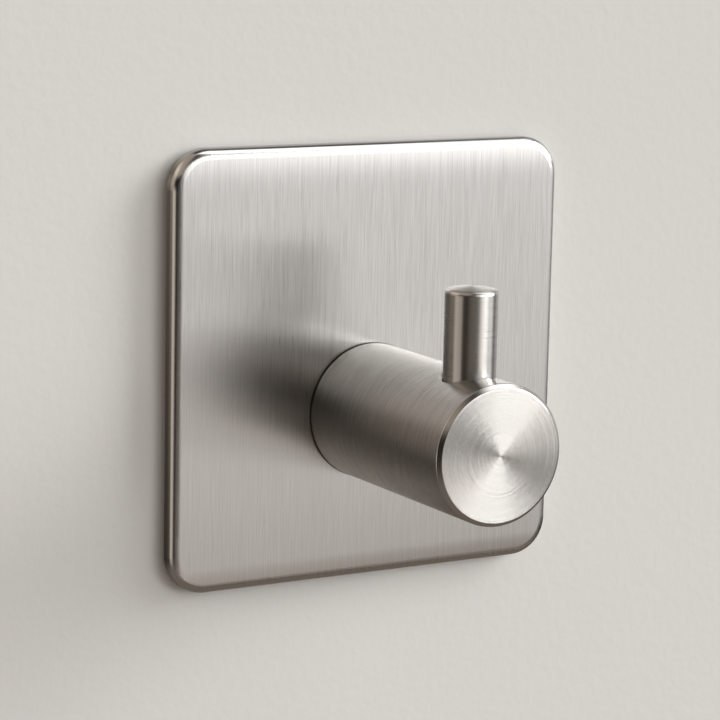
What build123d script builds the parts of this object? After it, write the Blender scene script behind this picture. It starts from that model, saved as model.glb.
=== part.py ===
"""A square adhesive hook in brushed stainless steel, in millimetres.

A stamped back plate carries a turned post, held by a countersunk screw from behind, and an upright
pin pressed into the post keeps what hangs there from slipping off. A foam pad bonds it to the wall.

The wall is the plane y = 0, with the origin in the middle of the pad's wall face. The hook reaches
out of the wall along -Y, and +Z is up.
"""

import os
from math import radians, sqrt, tan

from build123d import *

# Adhesive pad, die-cut a little smaller than the plate
pad_thickness = 0.5
pad_inset = 1.0

# Back plate
plate_width = 45.0
plate_height = 45.0
plate_thickness = 2.0
plate_corner_radius = 4.0
plate_edge_radius = 1.0
plate_back_break = 0.2

# Post, turned from bar; its axis lies below the plate's centre
post_diameter = 14.0
post_length = 25.0
post_drop = 5.0
post_front_chamfer = 0.4
post_edge_radius = 0.15
post_seat_chamfer = 0.35

# Retaining pin with a crowned top; its rise and its seat are measured from the post's top line
pin_diameter = 5.2
pin_setback = 6.0
pin_rise = 8.6
pin_seat_depth = 8.0
pin_seat_clearance = 0.01
pin_crown = 0.35
pin_top_radius = 0.45
pin_foot_chamfer = 0.3
pin_relief_gap = 0.2
pin_relief_depth = 0.3
pin_mouth_break = 0.1

# Countersunk fixing screw; its length includes the head
screw_diameter = 3.0
screw_length = 8.0
screw_head_diameter = 5.6
screw_head_angle = 90.0
screw_head_sink = 0.1
screw_tip_chamfer = 0.4
screw_socket_flats = 2.0
screw_socket_depth = 0.9
screw_plate_clearance = 0.1
screw_thread_clearance = 0.02
screw_tip_room = 1.5

# Blind holes end in the cone of the drill
drill_point_angle = 118.0

# Places along Y, from the wall outwards
plate_back = -pad_thickness
plate_front = plate_back - plate_thickness
post_front = plate_front - post_length
pin_axis_y = post_front + pin_setback

# Places along Z
post_radius = post_diameter / 2
post_axis_z = -post_drop
post_top = post_axis_z + post_radius
pin_top = post_top + pin_rise
pin_rim = pin_top - pin_crown
pin_foot = post_top - pin_seat_depth

# The screw, head first
screw_radius = screw_diameter / 2
screw_head_radius = screw_head_diameter / 2
screw_head_slope = tan(radians(screw_head_angle / 2))
screw_head_face = plate_back - screw_head_sink
screw_neck = screw_head_face - (screw_head_radius - screw_radius) / screw_head_slope
screw_tip = screw_head_face - screw_length

# The holes that the screw and the pin go into
tapped_radius = screw_radius + screw_thread_clearance
tapped_end = screw_tip - screw_tip_room
pin_radius = pin_diameter / 2
pin_hole_radius = pin_radius + pin_seat_clearance
pin_relief_radius = pin_radius + pin_relief_gap
pin_relief_floor = post_axis_z + sqrt(post_radius**2 - pin_relief_radius**2) - pin_relief_depth
drill_slope = tan(radians(drill_point_angle / 2))

# The post's axis and the pin's axis, and a plane through each of them for the turned sections
post_axis = Axis((0, plate_front, post_axis_z), (0, -1, 0))
post_section = Plane.XY.offset(post_axis_z)
pin_axis = Axis((0, pin_axis_y, pin_foot), (0, 0, 1))
pin_section = Plane.XZ.offset(-pin_axis_y)

os.makedirs("parts", exist_ok=True)


# Adhesive pad
with BuildPart() as adhesive_pad:
    with BuildSketch(Plane.XZ):
        RectangleRounded(plate_width, plate_height, plate_corner_radius)
        offset(amount=-pad_inset, mode=Mode.REPLACE)
    extrude(amount=pad_thickness)

adhesive_pad.part.label = "adhesive_pad"
export_step(adhesive_pad.part, "parts/adhesive_pad.step")


# Back plate, with a rounded front edge and a countersunk hole for the screw
with BuildPart() as back_plate:
    with BuildSketch(Plane.XZ.offset(-plate_back)):
        RectangleRounded(plate_width, plate_height, plate_corner_radius)
    extrude(amount=plate_thickness)
    fillet(back_plate.faces().sort_by(Axis.Y)[0].edges(), plate_edge_radius)
    chamfer(back_plate.faces().sort_by(Axis.Y)[-1].edges(), plate_back_break)
    with Locations(Plane((0, plate_back, post_axis_z), x_dir=(1, 0, 0), z_dir=(0, 1, 0))):
        CounterSinkHole(
            radius=screw_radius + screw_plate_clearance,
            counter_sink_radius=screw_head_radius + screw_head_sink * screw_head_slope,
            depth=plate_thickness,
            counter_sink_angle=screw_head_angle,
        )

back_plate.part.label = "back_plate"
export_step(back_plate.part, "parts/back_plate.step")


# Post, with a tapped hole in its seat and a cross hole for the pin, relieved at its mouth
with BuildPart() as post:
    with BuildSketch(post_section):
        with BuildLine():
            Polyline(
                (0, plate_front),
                (post_radius - post_seat_chamfer, plate_front),
                (post_radius, plate_front - post_seat_chamfer),
                (post_radius, post_front + post_front_chamfer),
                (post_radius - post_front_chamfer, post_front),
                (0, post_front),
                close=True,
            )
        make_face()
    revolve(axis=post_axis)
    fillet(post.edges().filter_by(Plane.XZ).sort_by(Axis.Y)[:2], post_edge_radius)
    with BuildSketch(post_section):
        with BuildLine():
            Polyline(
                (0, plate_front),
                (tapped_radius, plate_front),
                (tapped_radius, tapped_end),
                (0, tapped_end - tapped_radius / drill_slope),
                close=True,
            )
        make_face()
    revolve(axis=post_axis, mode=Mode.SUBTRACT)
    with BuildSketch(pin_section):
        with BuildLine():
            Polyline(
                (0, pin_top),
                (pin_relief_radius, pin_top),
                (pin_relief_radius, pin_relief_floor),
                (pin_hole_radius, pin_relief_floor),
                (pin_hole_radius, pin_foot),
                (0, pin_foot - pin_hole_radius / drill_slope),
                close=True,
            )
        make_face()
    revolve(axis=pin_axis, mode=Mode.SUBTRACT)
    round_faces = post.faces().filter_by(GeomType.CYLINDER)
    pin_hole_wall = round_faces.filter_by(lambda face: face.axis_of_rotation.is_parallel(pin_axis))
    chamfer(pin_hole_wall.edges().group_by(Axis.Z)[-1], pin_mouth_break)

post.part.label = "post"
export_step(post.part, "parts/post.step")


# Retaining pin
with BuildPart() as retaining_pin:
    with BuildSketch(pin_section):
        with BuildLine():
            Polyline(
                (0, pin_top),
                (0, pin_foot),
                (pin_radius - pin_foot_chamfer, pin_foot),
                (pin_radius, pin_foot + pin_foot_chamfer),
                (pin_radius, pin_rim),
            )
            TangentArc((0, pin_top), (pin_radius, pin_rim), tangent=(1, 0))
        make_face()
    revolve(axis=pin_axis)
    fillet(retaining_pin.edges().filter_by(Plane.XY).sort_by(Axis.Z)[-1], pin_top_radius)

retaining_pin.part.label = "retaining_pin"
export_step(retaining_pin.part, "parts/retaining_pin.step")


# Fixing screw, with a hexagon socket in its head
with BuildPart() as fixing_screw:
    with BuildSketch(post_section):
        with BuildLine():
            Polyline(
                (0, screw_head_face),
                (screw_head_radius, screw_head_face),
                (screw_radius, screw_neck),
                (screw_radius, screw_tip + screw_tip_chamfer),
                (screw_radius - screw_tip_chamfer, screw_tip),
                (0, screw_tip),
                close=True,
            )
        make_face()
    revolve(axis=post_axis)
    with BuildSketch(Plane.XZ.offset(-screw_head_face)):
        with Locations((0, post_axis_z)):
            RegularPolygon(radius=screw_socket_flats / 2, side_count=6, major_radius=False)
    extrude(amount=screw_socket_depth, mode=Mode.SUBTRACT)

fixing_screw.part.label = "fixing_screw"
export_step(fixing_screw.part, "parts/fixing_screw.step")
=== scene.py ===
"""Finish and stage of a square adhesive hook in brushed steel.

Laid out as an add-on and run as a script. All lengths are in metres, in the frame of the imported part:
the wall is the plane y = 0, the hook reaches out along -Y and +Z is up.
"""

from collections import namedtuple
from math import pi, radians

import bmesh
import bpy
from bpy.props import FloatProperty, FloatVectorProperty, PointerProperty
from bpy.types import Operator, Panel, PropertyGroup
from mathutils import Matrix, Vector


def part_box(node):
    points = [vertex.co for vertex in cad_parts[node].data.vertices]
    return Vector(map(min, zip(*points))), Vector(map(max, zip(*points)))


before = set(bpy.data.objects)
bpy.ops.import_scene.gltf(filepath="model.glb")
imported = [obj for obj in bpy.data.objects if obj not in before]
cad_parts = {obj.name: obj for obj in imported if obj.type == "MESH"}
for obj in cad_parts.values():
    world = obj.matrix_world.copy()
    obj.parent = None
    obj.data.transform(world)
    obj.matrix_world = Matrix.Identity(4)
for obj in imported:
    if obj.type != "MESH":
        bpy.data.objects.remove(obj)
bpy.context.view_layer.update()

bl_info = {
    "name": "Adhesive hook",
    "version": (1, 0, 0),
    "blender": (4, 5, 0),
    "location": "View3D > Sidebar > Hook",
    "description": "Finishes the plate, post, pin, screw and pad of an adhesive hook and sets its stage",
    "category": "Object",
}

MM = 0.001

# Places taken from the frame
PLATE_LOW, PLATE_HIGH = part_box("back_plate")
POST_LOW, POST_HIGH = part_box("post")
WALL_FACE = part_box("adhesive_pad")[1].y
POST_AXIS = (0.0, 0.0, (POST_LOW.z + POST_HIGH.z) / 2)
POST_RADIUS = (POST_HIGH.x - POST_LOW.x) / 2

# Directions
RIGHTWARD = (1.0, 0.0, 0.0)
INWARD = (0.0, 1.0, 0.0)
OUTWARD = (0.0, -1.0, 0.0)
UPWARD = (0.0, 0.0, 1.0)
ACROSS_POST = (1.0, 0.0, 1.0)

# How squarely a surface faces out of the wall, or up on the pin, where a finish starts and where it is full
PLATE_FACE = (0.75, 0.98)
POST_FACE = (0.90, 0.97)
POST_SIDE = (0.35, 0.25)
PIN_CROWN = (0.75, 0.95)

BRUSH_DEPTH = 1 * MM
QUARTER_TURN = 0.25
TO_DEGREES = 180 / pi
SENSOR_WIDTH = 36.0
NEAREST_SEEN = 10 * MM
WHITE = Vector((1.0, 1.0, 1.0))


def colour_setting(name, description, default):
    return FloatVectorProperty(name=name, description=description, subtype="COLOR", size=3,
                               min=0, max=1, default=default)


def factor_setting(name, description, default):
    return FloatProperty(name=name, description=description, subtype="FACTOR",
                         min=0, max=1, default=default)


def length_setting(name, description, default):
    return FloatProperty(name=name, description=description, unit="LENGTH", min=0, default=default)


class PlateSettings(PropertyGroup):
    """Brushed steel of the back plate."""

    colour: colour_setting("Colour", "Reflectance of the brushed steel", (0.66, 0.645, 0.625))
    roughness: factor_setting("Roughness", "Roughness of the brushed front", 0.295)
    edge_roughness: factor_setting("Edge roughness", "Roughness of the polished edge", 0.17)
    spread: factor_setting("Spread", "How far the brush lines spread a reflection sideways", 0.9)
    line_width: length_setting("Line width", "Width of a brush line", 0.07 * MM)
    line_length: length_setting("Line length", "Length of a brush line", 4 * MM)
    line_contrast: factor_setting("Line contrast", "How much lighter or darker a brush line is", 0.24)
    line_slope: factor_setting("Line slope", "Slope of a brush line's flanks", 0.04)
    line_roughness: factor_setting("Line roughness", "How much rougher or smoother a brush line is", 0.04)
    band_width: length_setting("Band width", "Width of the broad bands in the brushing", 0.6 * MM)
    band_length: length_setting("Band length", "Length of the broad bands in the brushing", 9 * MM)
    band_contrast: factor_setting("Band contrast", "How much lighter or darker a broad band is", 0.04)
    band_slope: factor_setting("Band slope", "Slope of a broad band's flanks", 0.01)
    roll_width: length_setting("Roll width", "Width of the strip that is rounded off at the top", 5 * MM)
    roll_slope: factor_setting("Roll slope", "Slope of the face at its top edge", 0.035)
    foot_width: length_setting("Foot width", "Width of the strip rounded off at the bottom", 2.8 * MM)
    foot_slope: factor_setting("Foot slope", "Slope of the face at its bottom edge", 0.12)
    # Painted shadow: a thin ring of the plate round the post's seat is darkened in colour, standing in for
    # the shade between plate and post
    painted_shadow_width: length_setting("Seam width", "Width of the dark seam round the post's seat", 0.08 * MM)
    painted_shadow_strength: factor_setting("Seam shade", "How much darker the seam is than the plate", 0.8)


class PostSettings(PropertyGroup):
    """Turned steel of the post."""

    colour: colour_setting("Colour", "Reflectance of the turned steel", (0.62, 0.602, 0.578))
    # Painted shade: the colour of the post's side is made darker than its front face
    side_painted_shade: factor_setting("Side dulling", "How much duller the side is than the front face", 0.3)
    roughness: factor_setting("Roughness", "Roughness between the tool lines", 0.22)
    feed: length_setting("Feed", "Step of the lathe tool to each turn", 0.05 * MM)
    side_spread: factor_setting("Side spread", "Slope of the tool lines round the post", 0.35)
    face_spread: factor_setting("Face spread", "Slope of the tool lines on the front face", 0.35)
    side_line: length_setting("Side line", "Width of the visible tool lines on the side", 0.16 * MM)
    side_length: length_setting("Side length", "Length of the visible tool lines on the side", 3.5 * MM)
    side_contrast: factor_setting("Side contrast", "How much lighter or darker a side line is", 0.25)
    side_slope: factor_setting("Side slope", "Slope of the visible tool lines on the side", 0.03)
    face_line: length_setting("Face line", "Width of the visible tool rings on the front face", 0.16 * MM)
    face_length: length_setting("Face length", "Length of the visible tool rings at the rim", 25 * MM)
    face_contrast: factor_setting("Face contrast", "How much lighter or darker a tool ring is", 0.18)
    face_slope: factor_setting("Face slope", "Slope of the visible tool rings", 0.01)


class PinSettings(PropertyGroup):
    """Polished steel of the retaining pin."""

    colour: colour_setting("Colour", "Reflectance of the polished steel", (0.64, 0.62, 0.595))
    roughness: factor_setting("Roughness", "Roughness of the polished steel", 0.28)
    spread: factor_setting("Spread", "How far the polishing lines spread a reflection up and down", 0.6)
    top_roughness: factor_setting("Top roughness", "Roughness of the crowned top", 0.42)
    # Painted shade: the colour of the crowned top is made darker than the side
    top_painted_shade: factor_setting("Top dulling", "How much duller the crowned top is than the side", 0.12)
    line_width: length_setting("Line width", "Width of the polishing lines", 0.2 * MM)
    line_length: length_setting("Line length", "Length of the polishing lines", 5 * MM)
    line_contrast: factor_setting("Line contrast", "How much lighter or darker a polishing line is", 0.06)
    line_slope: factor_setting("Line slope", "Slope of a polishing line's flanks", 0.025)
    line_roughness: factor_setting("Line roughness", "How much rougher or smoother a line is", 0.02)


class ScrewSettings(PropertyGroup):
    """Plain steel of the fixing screw."""

    colour: colour_setting("Colour", "Reflectance of the screw's steel", (0.58, 0.57, 0.55))
    roughness: factor_setting("Roughness", "Roughness of the screw", 0.32)
    stain_size: length_setting("Stain size", "Size of the uneven patches", 0.6 * MM)
    stain_contrast: factor_setting("Stain contrast", "How much lighter or darker a patch is", 0.1)
    stain_roughness: factor_setting("Stain roughness", "How much rougher or smoother a patch is", 0.08)


class PadSettings(PropertyGroup):
    """Foam of the adhesive pad."""

    colour: colour_setting("Colour", "Colour of the foam", (0.10, 0.10, 0.105))
    roughness: factor_setting("Roughness", "Roughness of the foam", 0.6)
    cell: length_setting("Cell", "Size of the foam's cells", 0.4 * MM)
    cell_contrast: factor_setting("Cell contrast", "How much lighter or darker a cell is", 0.2)
    cell_roughness: factor_setting("Cell roughness", "How much rougher or smoother a cell is", 0.1)
    cell_relief: factor_setting("Cell relief", "Strength of the cells' relief", 0.4)
    cell_depth: length_setting("Cell depth", "Depth of the cells' relief", 0.1 * MM)


class StudioSettings(PropertyGroup):
    """Backdrop, camera and light."""

    eye: FloatVectorProperty(
        name="Eye", description="Place of the camera", subtype="TRANSLATION", unit="LENGTH",
        size=3, default=(-0.1441, -0.2481, 0.0513))
    yaw: FloatProperty(
        name="Yaw", description="Turn of the camera to the right, from looking straight at the wall",
        subtype="ANGLE", default=radians(30.19))
    pitch: FloatProperty(
        name="Pitch", description="Tilt of the camera, down", subtype="ANGLE", default=radians(10.18))
    roll: FloatProperty(
        name="Roll", description="Roll of the camera, anticlockwise", subtype="ANGLE", default=radians(1.2))
    lens: FloatProperty(
        name="Lens", description="Focal length on a 36 mm sensor", unit="CAMERA", default=140.9)
    half_width: length_setting("Half width", "Half the width of the wall and the floor", 900 * MM)
    wall_top: length_setting("Wall top", "Height of the wall above the hook's middle", 700 * MM)
    wall_lead: length_setting("Wall lead", "How far the wall stands in front of the pad's face", 0.1 * MM)
    floor_drop: length_setting("Floor drop", "Depth of the floor below the hook's middle", 550 * MM)
    wall_colour: colour_setting("Wall colour", "Colour of the plain wall", (0.78, 0.765, 0.74))
    tooth_size: length_setting("Tooth size", "Size of the plaster's fine tooth", 1.2 * MM)
    tooth_relief: factor_setting("Tooth relief", "Strength of the plaster's relief", 0.12)
    tooth_depth: length_setting("Tooth depth", "Depth of the plaster's relief", 0.15 * MM)
    floor_colour: colour_setting("Floor colour", "Colour of the plain floor", (0.75, 0.73, 0.70))
    room_colour: colour_setting("Room colour", "Colour seen past the wall", (0.62, 0.61, 0.59))
    room_tint: colour_setting("Room tint", "Tint of the light from the dim room", (1.0, 0.80, 0.62))
    room_light: factor_setting("Room light", "Light from all round", 0.015)


class Wire:
    """A shader socket. Operators on wires add Math nodes, and add() makes any other node."""

    def __init__(self, tree, socket=None):
        self.tree = tree
        self.socket = socket

    def add(self, kind, settings=(), inputs=(), output=0):
        """A new node of this kind, with its settings made first, then its values and links."""
        node = self.tree.nodes.new(kind)
        for name, value in dict(settings).items():
            setattr(node, name, value)
        for name, value in dict(inputs).items():
            if isinstance(value, Wire):
                self.tree.links.new(value.socket, node.inputs[name])
            else:
                node.inputs[name].default_value = value
        return Wire(self.tree, node.outputs[output] if len(node.outputs) else None)

    def math(self, operation, first, second=0.0):
        return self.add("ShaderNodeMath", {"operation": operation}, {0: first, 1: second})

    def __add__(self, other):
        return self.math("ADD", self, other)

    def __radd__(self, other):
        return self.math("ADD", other, self)

    def __sub__(self, other):
        return self.math("SUBTRACT", self, other)

    def __rsub__(self, other):
        return self.math("SUBTRACT", other, self)

    def __mul__(self, other):
        return self.math("MULTIPLY", self, other)

    def __rmul__(self, other):
        return self.math("MULTIPLY", other, self)

    def __truediv__(self, other):
        return self.math("DIVIDE", self, other)

    def __rtruediv__(self, other):
        return self.math("DIVIDE", other, self)


def vector_math(pen, operation, inputs, output="Vector"):
    return pen.add("ShaderNodeVectorMath", {"operation": operation}, inputs, output)


def component(pen, vector, axis):
    """The part of a vector along X, Y or Z."""
    return pen.add("ShaderNodeSeparateXYZ", (), {0: vector}, axis)


def new_material(name):
    """An empty node material and a wire to add its nodes with."""
    material = bpy.data.materials.new(name)
    material.use_nodes = True
    material.node_tree.nodes.clear()
    return material, Wire(material.node_tree)


def finish_material(pen, shader):
    pen.add("ShaderNodeOutputMaterial", (), {"Surface": shader})


def object_point(pen):
    return pen.add("ShaderNodeTexCoord", (), (), "Object")


def surface_normal(pen):
    return pen.add("ShaderNodeNewGeometry", (), (), "Normal")


def facing_out(pen):
    """1 where the surface faces straight out of the wall, 0 where it faces sideways."""
    return vector_math(pen, "DOT_PRODUCT", {0: surface_normal(pen), 1: OUTWARD}, "Value")


def grain(pen, point, cell, detail=1.0):
    """Noise from -1 to 1 in cells of this size along X, Y and Z."""
    stretched = pen.add("ShaderNodeMapping", (), {"Vector": point, "Scale": [1 / size for size in cell]})
    noise = pen.add("ShaderNodeTexNoise", {"noise_dimensions": "3D"},
                    {"Vector": stretched, "Scale": 1.0, "Detail": detail})
    return 2.0 * noise - 1.0


def ramp(pen, value, start, end):
    """0 at the start and 1 at the end, with a soft change between them."""
    return pen.add("ShaderNodeMapRange", {"interpolation_type": "SMOOTHSTEP"},
                   {"Value": value, "From Min": start, "From Max": end})


def tilted_normal(pen, *leans):
    """The surface normal, leaned along each direction by a slope."""
    normal = surface_normal(pen)
    for direction, slope in leans:
        lean = vector_math(pen, "SCALE", {0: direction, "Scale": slope})
        normal = vector_math(pen, "ADD", {0: normal, 1: lean})
    return vector_math(pen, "NORMALIZE", {0: normal})


def shade(pen, colour, amount):
    """A colour made lighter or darker by a varying amount round 1."""
    grey = pen.add("ShaderNodeCombineColor", (), {"Red": amount, "Green": amount, "Blue": amount})
    return pen.add("ShaderNodeMix", {"data_type": "RGBA", "blend_type": "MULTIPLY"},
                   {"Factor": 1.0, "A": (*colour, 1.0), "B": grey}, "Result")


def across_post(pen, point):
    """The part of a point's offset from the post's axis that lies across the post."""
    centred = vector_math(pen, "SUBTRACT", {0: point, 1: POST_AXIS})
    return vector_math(pen, "MULTIPLY", {0: centred, 1: ACROSS_POST})


def plate_finish(settings):
    """Steel brushed up and down, so that reflections spread sideways.

    Its edge is polished, its face is rounded off a little at the top and at the bottom, and a painted
    shadow darkens the plate in a thin ring round the post's seat, where shade falls between plate and post.
    """
    material, pen = new_material("plate_brushed_steel")
    point = object_point(pen)
    brushed = ramp(pen, facing_out(pen), *PLATE_FACE)
    lines = brushed * grain(pen, point, (settings.line_width, BRUSH_DEPTH, settings.line_length))
    bands = brushed * grain(pen, point, (settings.band_width, BRUSH_DEPTH, settings.band_length))
    height = component(pen, point, "Z")
    over_top = ramp(pen, height, PLATE_HIGH.z - settings.roll_width, PLATE_HIGH.z)
    under_foot = ramp(pen, height, PLATE_LOW.z + settings.foot_width, PLATE_LOW.z)
    roll = brushed * (settings.roll_slope * over_top - settings.foot_slope * under_foot)
    sideways = settings.line_slope * lines + settings.band_slope * bands
    from_axis = vector_math(pen, "LENGTH", {0: across_post(pen, point)}, "Value")
    # Painted shadow in the thin ring round the post's seat, where the plate meets the post
    painted_shadow = ramp(pen, from_axis, POST_RADIUS + settings.painted_shadow_width, POST_RADIUS)
    brushing = 1.0 + settings.line_contrast * lines + settings.band_contrast * bands
    colour = shade(pen, settings.colour, brushing * (1.0 - settings.painted_shadow_strength * painted_shadow))
    dulling = settings.roughness - settings.edge_roughness
    roughness = settings.edge_roughness + dulling * brushed + settings.line_roughness * lines
    finish_material(pen, pen.add("ShaderNodeBsdfPrincipled", (), {
        "Base Color": colour, "Metallic": 1.0, "Roughness": roughness, "Anisotropic": settings.spread,
        "Normal": tilted_normal(pen, (RIGHTWARD, sideways), (UPWARD, roll))}))
    return material


def feed_marks(pen, distance, pitch, slope):
    """Slope of the round scallops that a lathe tool leaves, one to each turn."""
    return slope * (2.0 * pen.math("FRACT", distance / pitch) - 1.0)


def turned_point(pen, radial, distance):
    """A point that keeps the turn round the post in X and Z and a distance in Y."""
    step = vector_math(pen, "SCALE", {0: INWARD, "Scale": distance})
    return vector_math(pen, "ADD", {0: radial, 1: step})


def post_finish(settings):
    """Turned steel: lines round the bar that spread reflections along it, and rings on its front."""
    material, pen = new_material("post_turned_steel")
    point = object_point(pen)
    facing = facing_out(pen)
    on_face = ramp(pen, facing, *POST_FACE)
    on_side = ramp(pen, facing, *POST_SIDE)
    across = across_post(pen, point)
    radial = vector_math(pen, "NORMALIZE", {0: across})
    radius = vector_math(pen, "LENGTH", {0: across}, "Value")
    along = component(pen, point, "Y")
    face_turn = settings.face_length / POST_RADIUS
    side_turn = settings.side_length / POST_RADIUS
    face_cell = (face_turn, settings.face_line, face_turn)
    side_cell = (side_turn, settings.side_line, side_turn)
    rings = on_face * grain(pen, turned_point(pen, radial, radius), face_cell)
    turns = on_side * grain(pen, turned_point(pen, radial, along), side_cell)
    face_marks = feed_marks(pen, radius, settings.feed, settings.face_spread)
    side_marks = feed_marks(pen, along, settings.feed, settings.side_spread)
    face_slope = on_face * face_marks + settings.face_slope * rings
    side_slope = on_side * side_marks + settings.side_slope * turns
    normal = tilted_normal(pen, (radial, face_slope), (INWARD, side_slope))
    tone = 1.0 + settings.face_contrast * rings + settings.side_contrast * turns
    # The side's colour is darkened against the front face, a painted shade
    colour = shade(pen, settings.colour, tone - settings.side_painted_shade * on_side)
    finish_material(pen, pen.add("ShaderNodeBsdfPrincipled", (), {
        "Base Color": colour, "Metallic": 1.0, "Roughness": settings.roughness, "Normal": normal}))
    return material


def pin_finish(settings):
    """Polished steel with faint lines round the pin and a matt crowned top."""
    material, pen = new_material("pin_polished_steel")
    cell = (settings.line_length, settings.line_length, settings.line_width)
    lines = grain(pen, object_point(pen), cell, detail=2.0)
    on_top = ramp(pen, component(pen, surface_normal(pen), "Z"), *PIN_CROWN)
    matting = settings.top_roughness - settings.roughness
    roughness = settings.roughness + matting * on_top + settings.line_roughness * lines
    # The crowned top's colour is darkened, a painted shade
    tone = 1.0 + settings.line_contrast * lines - settings.top_painted_shade * on_top
    finish_material(pen, pen.add("ShaderNodeBsdfPrincipled", (), {
        "Base Color": shade(pen, settings.colour, tone), "Metallic": 1.0, "Roughness": roughness,
        "Anisotropic": settings.spread, "Anisotropic Rotation": QUARTER_TURN,
        "Normal": tilted_normal(pen, (UPWARD, settings.line_slope * lines))}))
    return material


def screw_finish(settings):
    """Plain machined steel, a little uneven."""
    material, pen = new_material("screw_plain_steel")
    stain = grain(pen, object_point(pen), (settings.stain_size,) * 3, detail=3.0)
    finish_material(pen, pen.add("ShaderNodeBsdfPrincipled", (), {
        "Base Color": shade(pen, settings.colour, 1.0 + settings.stain_contrast * stain), "Metallic": 1.0,
        "Roughness": settings.roughness + settings.stain_roughness * stain}))
    return material


def foam_finish(settings):
    """Matt closed-cell foam."""
    material, pen = new_material("pad_acrylic_foam")
    cells = grain(pen, object_point(pen), (settings.cell,) * 3, detail=3.0)
    bump = pen.add("ShaderNodeBump", (), {
        "Strength": settings.cell_relief, "Distance": settings.cell_depth, "Height": cells})
    finish_material(pen, pen.add("ShaderNodeBsdfPrincipled", (), {
        "Base Color": shade(pen, settings.colour, 1.0 + settings.cell_contrast * cells),
        "Roughness": settings.roughness + settings.cell_roughness * cells, "Normal": bump}))
    return material


def dress(node, material):
    """Gives a node of the frame a finish."""
    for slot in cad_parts[node].material_slots:
        slot.material = material


class HOOK_OT_plate(Operator):
    """Finish the back plate"""

    bl_idname = "hook.plate"
    bl_label = "Back plate"

    def execute(self, context):
        dress("back_plate", plate_finish(context.scene.hook_plate))
        return {"FINISHED"}


class HOOK_OT_post(Operator):
    """Finish the post"""

    bl_idname = "hook.post"
    bl_label = "Post"

    def execute(self, context):
        dress("post", post_finish(context.scene.hook_post))
        return {"FINISHED"}


class HOOK_OT_pin(Operator):
    """Finish the retaining pin and the fixing screw"""

    bl_idname = "hook.pin"
    bl_label = "Retaining pin and screw"

    def execute(self, context):
        dress("retaining_pin", pin_finish(context.scene.hook_pin))
        dress("fixing_screw", screw_finish(context.scene.hook_screw))
        return {"FINISHED"}


class HOOK_OT_pad(Operator):
    """Finish the adhesive pad"""

    bl_idname = "hook.pad"
    bl_label = "Adhesive pad"

    def execute(self, context):
        dress("adhesive_pad", foam_finish(context.scene.hook_pad))
        return {"FINISHED"}


def link(name, data):
    """A new object at the origin that holds this data."""
    item = bpy.data.objects.new(name, data)
    bpy.context.scene.collection.objects.link(item)
    return item


def stage_sheet(name, width, height, place, material):
    """A flat sheet of the stage, put in its place in its mesh."""
    half_side = 0.5
    stretch = Matrix.Diagonal((width, height, 1.0, 1.0))
    shape = bmesh.new()
    bmesh.ops.create_grid(shape, x_segments=1, y_segments=1, size=half_side, matrix=place @ stretch)
    mesh = bpy.data.meshes.new(name)
    shape.to_mesh(mesh)
    shape.free()
    mesh.materials.append(material)
    sheet = link(name, mesh)
    sheet.visible_glossy = False
    return sheet


def wall_finish(settings):
    """Matt plaster with a fine tooth, shown only from the front."""
    material, pen = new_material("stage_plaster")
    tooth = grain(pen, object_point(pen), (settings.tooth_size,) * 3, detail=4.0)
    bump = pen.add("ShaderNodeBump", (), {
        "Strength": settings.tooth_relief, "Distance": settings.tooth_depth, "Height": tooth})
    plaster = pen.add("ShaderNodeBsdfDiffuse", (), {"Color": (*settings.wall_colour, 1.0), "Normal": bump})
    clear = pen.add("ShaderNodeBsdfTransparent")
    behind = pen.add("ShaderNodeNewGeometry", (), (), "Backfacing")
    finish_material(pen, pen.add("ShaderNodeMixShader", (), {0: behind, 1: plaster, 2: clear}))
    return material


def floor_finish(settings):
    """Plain pale floor."""
    material, pen = new_material("stage_floor")
    finish_material(pen, pen.add("ShaderNodeBsdfDiffuse", (), {"Color": (*settings.floor_colour, 1.0)}))
    return material


SoftWindow = namedtuple("SoftWindow", "light warmth left right bottom top")

# Soft windows of light round the hook. Azimuth is 0 straight out of the wall and positive to the right,
# elevation is positive upwards; each side gives the degrees where the light starts and where it is full.
# Warmth goes from 0 for white light to 1 for the brown of a dim room.
FROM_BEHIND_LEFT = (-182, -181)
TO_BEHIND_RIGHT = (182, 181)
FROM_BELOW = (-92, -91)
TO_ABOVE = (92, 91)
SOFT_WINDOWS = {
    "key": SoftWindow(13.0, 0.05, (50, 65), (85, 75), (5, 15), (55, 30)),
    "key_skirt": SoftWindow(0.9, 0.0, (5, 20), (85, 65), (-15, -10), (45, 25)),
    "plate_glow": SoftWindow(7.0, 0.0, (20, 35), (50, 40), (-4, 0), (8, 4)),
    "upper_front": SoftWindow(2.0, 0.1, (-20, 5), (45, 30), (5, 15), (40, 30)),
    "overhead": SoftWindow(2.0, 0.0, (15, 55), (120, 90), (40, 60), TO_ABOVE),
    "upper_left": SoftWindow(0.4, 0.65, FROM_BEHIND_LEFT, (-5, -55), (15, 30), TO_ABOVE),
    "front_fill": SoftWindow(0.07, 0.5, (-50, -30), (10, -5), (-30, -10), (20, 5)),
    "low_front": SoftWindow(1.2, 0.35, (0, 20), (35, 25), (-30, -20), (-5, -15)),
    "low_wedge": SoftWindow(1.5, 0.35, (-5, 5), (20, 10), (-50, -40), (-20, -30)),
    "low_left": SoftWindow(0.12, 0.75, (-50, -30), (-5, -20), (-65, -45), (-5, -15)),
    "floor_bounce": SoftWindow(0.17, 0.7, FROM_BEHIND_LEFT, TO_BEHIND_RIGHT, FROM_BELOW, (-10, -45)),
    "left_strip": SoftWindow(0.6, 0.5, (-110, -100), (-65, -75), (-40, -10), (5, -5)),
    "behind_right": SoftWindow(0.55, 0.05, (85, 105), TO_BEHIND_RIGHT, (-20, -5), (65, 10)),
    "behind_left": SoftWindow(0.5, 0.75, (-160, -145), (-85, -100), (-20, 10), (60, 35)),
}


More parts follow.
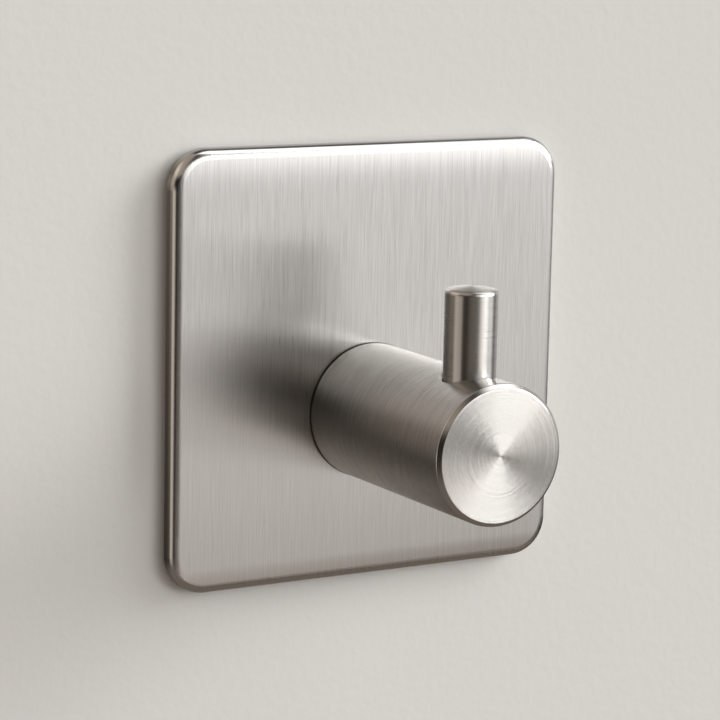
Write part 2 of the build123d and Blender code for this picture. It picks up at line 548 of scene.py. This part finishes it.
class HOOK_OT_stage(Operator):
    """Set the wall, the floor, the light and the camera"""

    bl_idname = "hook.stage"
    bl_label = "Stage"

    def execute(self, context):
        settings = context.scene.hook_studio
        self.backdrop(settings)
        self.lights(context.scene, settings)
        self.camera(context.scene, settings)
        context.scene.view_settings.view_transform = "Standard"
        return {"FINISHED"}

    def backdrop(self, settings):
        width = 2 * settings.half_width
        height = settings.wall_top + settings.floor_drop
        middle = (settings.wall_top - settings.floor_drop) / 2
        upright = Matrix.Rotation(pi / 2, 4, "X")
        wall_place = Matrix.Translation((0.0, WALL_FACE - settings.wall_lead, middle)) @ upright
        floor_place = Matrix.Translation((0.0, 0.0, -settings.floor_drop))
        stage_sheet("stage_wall", width, height, wall_place, wall_finish(settings))
        ground = stage_sheet("stage_floor", width, width, floor_place, floor_finish(settings))
        ground.visible_diffuse = False

    def lights(self, scene, settings):
        world = bpy.data.worlds.new("studio_room")
        scene.world = world
        world.use_nodes = True
        world.node_tree.nodes.clear()
        pen = Wire(world.node_tree)
        way = pen.add("ShaderNodeTexCoord", (), (), "Generated")
        east, north, height = (component(pen, way, axis) for axis in "XYZ")
        azimuth = pen.math("ARCTAN2", east, -1.0 * north) * TO_DEGREES
        elevation = pen.math("ARCSINE", height) * TO_DEGREES
        light = Vector(settings.room_tint) * settings.room_light
        for window in SOFT_WINDOWS.values():
            across = ramp(pen, azimuth, *window.left) * ramp(pen, azimuth, *window.right)
            upright = ramp(pen, elevation, *window.bottom) * ramp(pen, elevation, *window.top)
            tint = WHITE.lerp(Vector(settings.room_tint), window.warmth)
            glow = vector_math(pen, "SCALE", {0: tint, "Scale": window.light * across * upright})
            light = vector_math(pen, "ADD", {0: light, 1: glow})
        room = pen.add("ShaderNodeBackground", (), {"Color": light})
        pale = pen.add("ShaderNodeBackground", (), {"Color": (*settings.room_colour, 1.0)})
        seen = pen.add("ShaderNodeLightPath", (), (), "Is Camera Ray")
        both = pen.add("ShaderNodeMixShader", (), {0: seen, 1: room, 2: pale})
        pen.add("ShaderNodeOutputWorld", (), {"Surface": both})

    def camera(self, scene, settings):
        data = bpy.data.cameras.new("camera")
        data.lens = settings.lens
        data.sensor_width = SENSOR_WIDTH
        data.clip_start = NEAREST_SEEN
        camera = link("camera", data)
        turn = (Matrix.Rotation(-settings.yaw, 4, "Z") @ Matrix.Rotation(pi / 2 - settings.pitch, 4, "X")
                @ Matrix.Rotation(settings.roll, 4, "Z"))
        camera.matrix_world = Matrix.Translation(settings.eye) @ turn
        scene.camera = camera


class HOOK_PT_panel(Panel):
    """Lists the hook's pieces and its stage"""

    bl_label = "Adhesive hook"
    bl_idname = "HOOK_PT_panel"
    bl_space_type = "VIEW_3D"
    bl_region_type = "UI"
    bl_category = "Hook"

    def draw(self, context):
        for operator in OPERATORS:
            self.layout.operator(operator.bl_idname)


OPERATORS = (HOOK_OT_plate, HOOK_OT_post, HOOK_OT_pin, HOOK_OT_pad, HOOK_OT_stage)
SETTINGS = {
    "hook_plate": PlateSettings,
    "hook_post": PostSettings,
    "hook_pin": PinSettings,
    "hook_screw": ScrewSettings,
    "hook_pad": PadSettings,
    "hook_studio": StudioSettings,
}
CLASSES = (*SETTINGS.values(), *OPERATORS, HOOK_PT_panel)


def register():
    for cls in CLASSES:
        bpy.utils.register_class(cls)
    for name, group in SETTINGS.items():
        setattr(bpy.types.Scene, name, PointerProperty(type=group))


def unregister():
    for name in SETTINGS:
        delattr(bpy.types.Scene, name)
    for cls in reversed(CLASSES):
        bpy.utils.unregister_class(cls)


def main():
    register()
    bpy.ops.hook.plate()
    bpy.ops.hook.post()
    bpy.ops.hook.pin()
    bpy.ops.hook.pad()
    bpy.ops.hook.stage()


if __name__ == "__main__":
    main()
